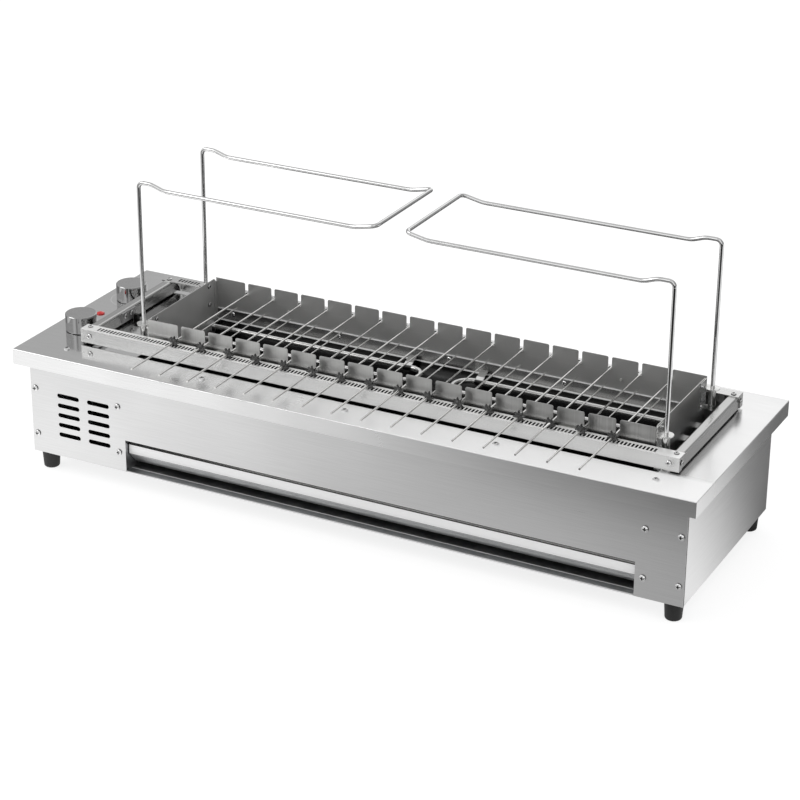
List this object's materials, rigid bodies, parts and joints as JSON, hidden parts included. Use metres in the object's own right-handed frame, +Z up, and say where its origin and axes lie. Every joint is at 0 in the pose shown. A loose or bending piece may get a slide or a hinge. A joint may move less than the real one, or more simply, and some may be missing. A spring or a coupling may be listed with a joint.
{
  "type": "electric skewer grill",
  "caption": "Long electric table grill: geared skewers turned by a sliding frame over a fire box, lift-off wire racks above and a drip drawer below.",
  "frame": {"origin": "on the table under the middle of the whole outline", "axes": "+X to the right along the grill, +Y to the back, +Z up"},
  "size_m": [0.9, 0.338, 0.3823],
  "materials": {
    "cover_steel": "bright rolled stainless sheet, shiny",
    "panel_steel": "brushed stainless sheet",
    "drawer_steel": "brushed stainless sheet",
    "rail_steel": "brushed stainless sheet",
    "box_steel": "stainless sheet, dulled by heat",
    "scorched_steel": "heat-darkened sheet",
    "heater_steel": "oxidised heating tube",
    "skewer_steel": "polished rod",
    "rack_chrome": "bright chrome",
    "socket_steel": "bright steel",
    "screw_steel": "bright screws and nuts",
    "knob_steel": "turned and polished",
    "lamp_red": "glossy red lens",
    "foot_rubber": "black rubber",
    "zinc_sheet": "zinc-plated sheet",
    "motor_zinc": "zinc-plated motor housing",
    "crank_steel": "machined steel",
    "arm_steel": "dark plated steel",
    "glide_nylon": "natural nylon",
    "switch_plastic": "dark moulded plastic",
    "terminal_plastic": "off-white moulded plastic",
    "inlet_plastic": "black moulded plastic"
  },
  "bodies": {
    "housing": {"cover_plate": "cover_steel", "front_panel": "panel_steel", "back_panel": "panel_steel", "left_panel": "panel_steel", "right_panel": "panel_steel", "base_plate": "zinc_sheet", "left_partition": "zinc_sheet", "right_partition": "zinc_sheet", "feet": "foot_rubber", "cover_screws": "screw_steel", "panel_screws": "screw_steel", "firebox_front_plate": "box_steel", "firebox_back_plate": "box_steel", "firebox_left_end": "box_steel", "firebox_right_end": "box_steel", "front_reflector": "scorched_steel", "back_reflector": "scorched_steel", "heating_tubes": "heater_steel", "heater_nuts": "screw_steel", "tube_clips": "scorched_steel", "rack_sockets": "socket_steel", "firebox_screws": "screw_steel", "glide_blocks": "glide_nylon", "drawer_runners": "zinc_sheet", "gear_motor": "motor_zinc", "motor_bracket": "zinc_sheet", "thermostat": "switch_plastic", "rotary_switch": "switch_plastic", "indicator_lamp": "lamp_red", "terminal_block": "terminal_plastic", "power_inlet": "inlet_plastic"},
    "frame": {"front_rack_rail": "rail_steel", "rear_rack_rail": "rail_steel", "frame_left_rail": "rail_steel", "frame_right_rail": "rail_steel", "frame_screws": "screw_steel", "drive_bracket": "arm_steel"},
    "link": {"drive_link": "crank_steel"},
    "crank": {"motor_crank": "crank_steel"},
    "front_knob": {"knob_front": "knob_steel"},
    "rear_knob": {"knob_rear": "knob_steel"},
    "left_rack": {"rack_left": "rack_chrome"},
    "right_rack": {"rack_right": "rack_chrome"},
    "drawer": {"drip_drawer": "drawer_steel"},
    "skewer_01": {"skewer_01": "skewer_steel"},
    "skewer_02": {"skewer_02": "skewer_steel"},
    "skewer_03": {"skewer_03": "skewer_steel"},
    "skewer_04": {"skewer_04": "skewer_steel"},
    "skewer_05": {"skewer_05": "skewer_steel"},
    "skewer_06": {"skewer_06": "skewer_steel"},
    "skewer_07": {"skewer_07": "skewer_steel"},
    "skewer_08": {"skewer_08": "skewer_steel"},
    "skewer_09": {"skewer_09": "skewer_steel"},
    "skewer_10": {"skewer_10": "skewer_steel"},
    "skewer_11": {"skewer_11": "skewer_steel"},
    "skewer_12": {"skewer_12": "skewer_steel"},
    "skewer_13": {"skewer_13": "skewer_steel"},
    "skewer_14": {"skewer_14": "skewer_steel"},
    "skewer_15": {"skewer_15": "skewer_steel"},
    "skewer_16": {"skewer_16": "skewer_steel"}
  },
  "joints": [
    {"name": "frame_slide", "type": "slide", "parent": "housing", "child": "frame", "axis": [1, 0, 0], "range_m": [0, 0.036]},
    {"name": "crank_turn", "type": "hinge", "parent": "housing", "child": "crank", "pos_m": [-0.38435, 0.014, 0.117], "axis": [0, 0, 1], "range_deg": [0, 180]},
    {"name": "link_swing", "type": "hinge", "parent": "frame", "child": "link", "pos_m": [-0.36635, 0.014, 0.1245], "axis": [0, 0, 1], "range_deg": [-30, 30]},
    {"name": "front_knob_turn", "type": "hinge", "parent": "housing", "child": "front_knob", "pos_m": [-0.4098, -0.044, 0.165], "axis": [0, 0, 1], "range_deg": [-90, 0]},
    {"name": "rear_knob_turn", "type": "hinge", "parent": "housing", "child": "rear_knob", "pos_m": [-0.4098, 0.072, 0.165], "axis": [0, 0, 1], "range_deg": [-270, 0]},
    {"name": "left_rack_lift", "type": "slide", "parent": "housing", "child": "left_rack", "axis": [0, 0, 1], "range_m": [0, 0.03]},
    {"name": "right_rack_lift", "type": "slide", "parent": "housing", "child": "right_rack", "axis": [0, 0, 1], "range_m": [0, 0.03]},
    {"name": "drawer_slide", "type": "slide", "parent": "housing", "child": "drawer", "axis": [0, -1, 0], "range_m": [0, 0.22]},
    {"name": "skewer_01_spin", "type": "hinge", "parent": "housing", "child": "skewer_01", "pos_m": [-0.2534, 0, 0.19013], "axis": [0, 1, 0], "range_deg": [-360, 0]},
    {"name": "skewer_02_spin", "type": "hinge", "parent": "housing", "child": "skewer_02", "pos_m": [-0.21487, 0, 0.19013], "axis": [0, 1, 0], "range_deg": [-360, 0]},
    {"name": "skewer_03_spin", "type": "hinge", "parent": "housing", "child": "skewer_03", "pos_m": [-0.17634, 0, 0.19013], "axis": [0, 1, 0], "range_deg": [-360, 0]},
    {"name": "skewer_04_spin", "type": "hinge", "parent": "housing", "child": "skewer_04", "pos_m": [-0.13781, 0, 0.19013], "axis": [0, 1, 0], "range_deg": [-360, 0]},
    {"name": "skewer_05_spin", "type": "hinge", "parent": "housing", "child": "skewer_05", "pos_m": [-0.09928, 0, 0.19013], "axis": [0, 1, 0], "range_deg": [-360, 0]},
    {"name": "skewer_06_spin", "type": "hinge", "parent": "housing", "child": "skewer_06", "pos_m": [-0.06075, 0, 0.19013], "axis": [0, 1, 0], "range_deg": [-360, 0]},
    {"name": "skewer_07_spin", "type": "hinge", "parent": "housing", "child": "skewer_07", "pos_m": [-0.02222, 0, 0.19013], "axis": [0, 1, 0], "range_deg": [-360, 0]},
    {"name": "skewer_08_spin", "type": "hinge", "parent": "housing", "child": "skewer_08", "pos_m": [0.01631, 0, 0.19013], "axis": [0, 1, 0], "range_deg": [-360, 0]},
    {"name": "skewer_09_spin", "type": "hinge", "parent": "housing", "child": "skewer_09", "pos_m": [0.05484, 0, 0.19013], "axis": [0, 1, 0], "range_deg": [-360, 0]},
    {"name": "skewer_10_spin", "type": "hinge", "parent": "housing", "child": "skewer_10", "pos_m": [0.09337, 0, 0.19013], "axis": [0, 1, 0], "range_deg": [-360, 0]},
    {"name": "skewer_11_spin", "type": "hinge", "parent": "housing", "child": "skewer_11", "pos_m": [0.1319, 0, 0.19013], "axis": [0, 1, 0], "range_deg": [-360, 0]},
    {"name": "skewer_12_spin", "type": "hinge", "parent": "housing", "child": "skewer_12", "pos_m": [0.17043, 0, 0.19013], "axis": [0, 1, 0], "range_deg": [-360, 0]},
    {"name": "skewer_13_spin", "type": "hinge", "parent": "housing", "child": "skewer_13", "pos_m": [0.20896, 0, 0.19013], "axis": [0, 1, 0], "range_deg": [-360, 0]},
    {"name": "skewer_14_spin", "type": "hinge", "parent": "housing", "child": "skewer_14", "pos_m": [0.24749, 0, 0.19013], "axis": [0, 1, 0], "range_deg": [-360, 0]},
    {"name": "skewer_15_spin", "type": "hinge", "parent": "housing", "child": "skewer_15", "pos_m": [0.28602, 0, 0.19013], "axis": [0, 1, 0], "range_deg": [-360, 0]},
    {"name": "skewer_16_spin", "type": "hinge", "parent": "housing", "child": "skewer_16", "pos_m": [0.32455, 0, 0.19013], "axis": [0, 1, 0], "range_deg": [-360, 0]}
  ],
  "couplings": [
    {"joint": "crank_turn", "follows": "frame_slide", "rad_per_m": 87.266},
    {"joint": "skewer_01_spin", "follows": "frame_slide", "rad_per_m": -174.53},
    {"joint": "skewer_02_spin", "follows": "frame_slide", "rad_per_m": -174.53},
    {"joint": "skewer_03_spin", "follows": "frame_slide", "rad_per_m": -174.53},
    {"joint": "skewer_04_spin", "follows": "frame_slide", "rad_per_m": -174.53},
    {"joint": "skewer_05_spin", "follows": "frame_slide", "rad_per_m": -174.53},
    {"joint": "skewer_06_spin", "follows": "frame_slide", "rad_per_m": -174.53},
    {"joint": "skewer_07_spin", "follows": "frame_slide", "rad_per_m": -174.53},
    {"joint": "skewer_08_spin", "follows": "frame_slide", "rad_per_m": -174.53},
    {"joint": "skewer_09_spin", "follows": "frame_slide", "rad_per_m": -174.53},
    {"joint": "skewer_10_spin", "follows": "frame_slide", "rad_per_m": -174.53},
    {"joint": "skewer_11_spin", "follows": "frame_slide", "rad_per_m": -174.53},
    {"joint": "skewer_12_spin", "follows": "frame_slide", "rad_per_m": -174.53},
    {"joint": "skewer_13_spin", "follows": "frame_slide", "rad_per_m": -174.53},
    {"joint": "skewer_14_spin", "follows": "frame_slide", "rad_per_m": -174.53},
    {"joint": "skewer_15_spin", "follows": "frame_slide", "rad_per_m": -174.53},
    {"joint": "skewer_16_spin", "follows": "frame_slide", "rad_per_m": -174.53}
  ]
}
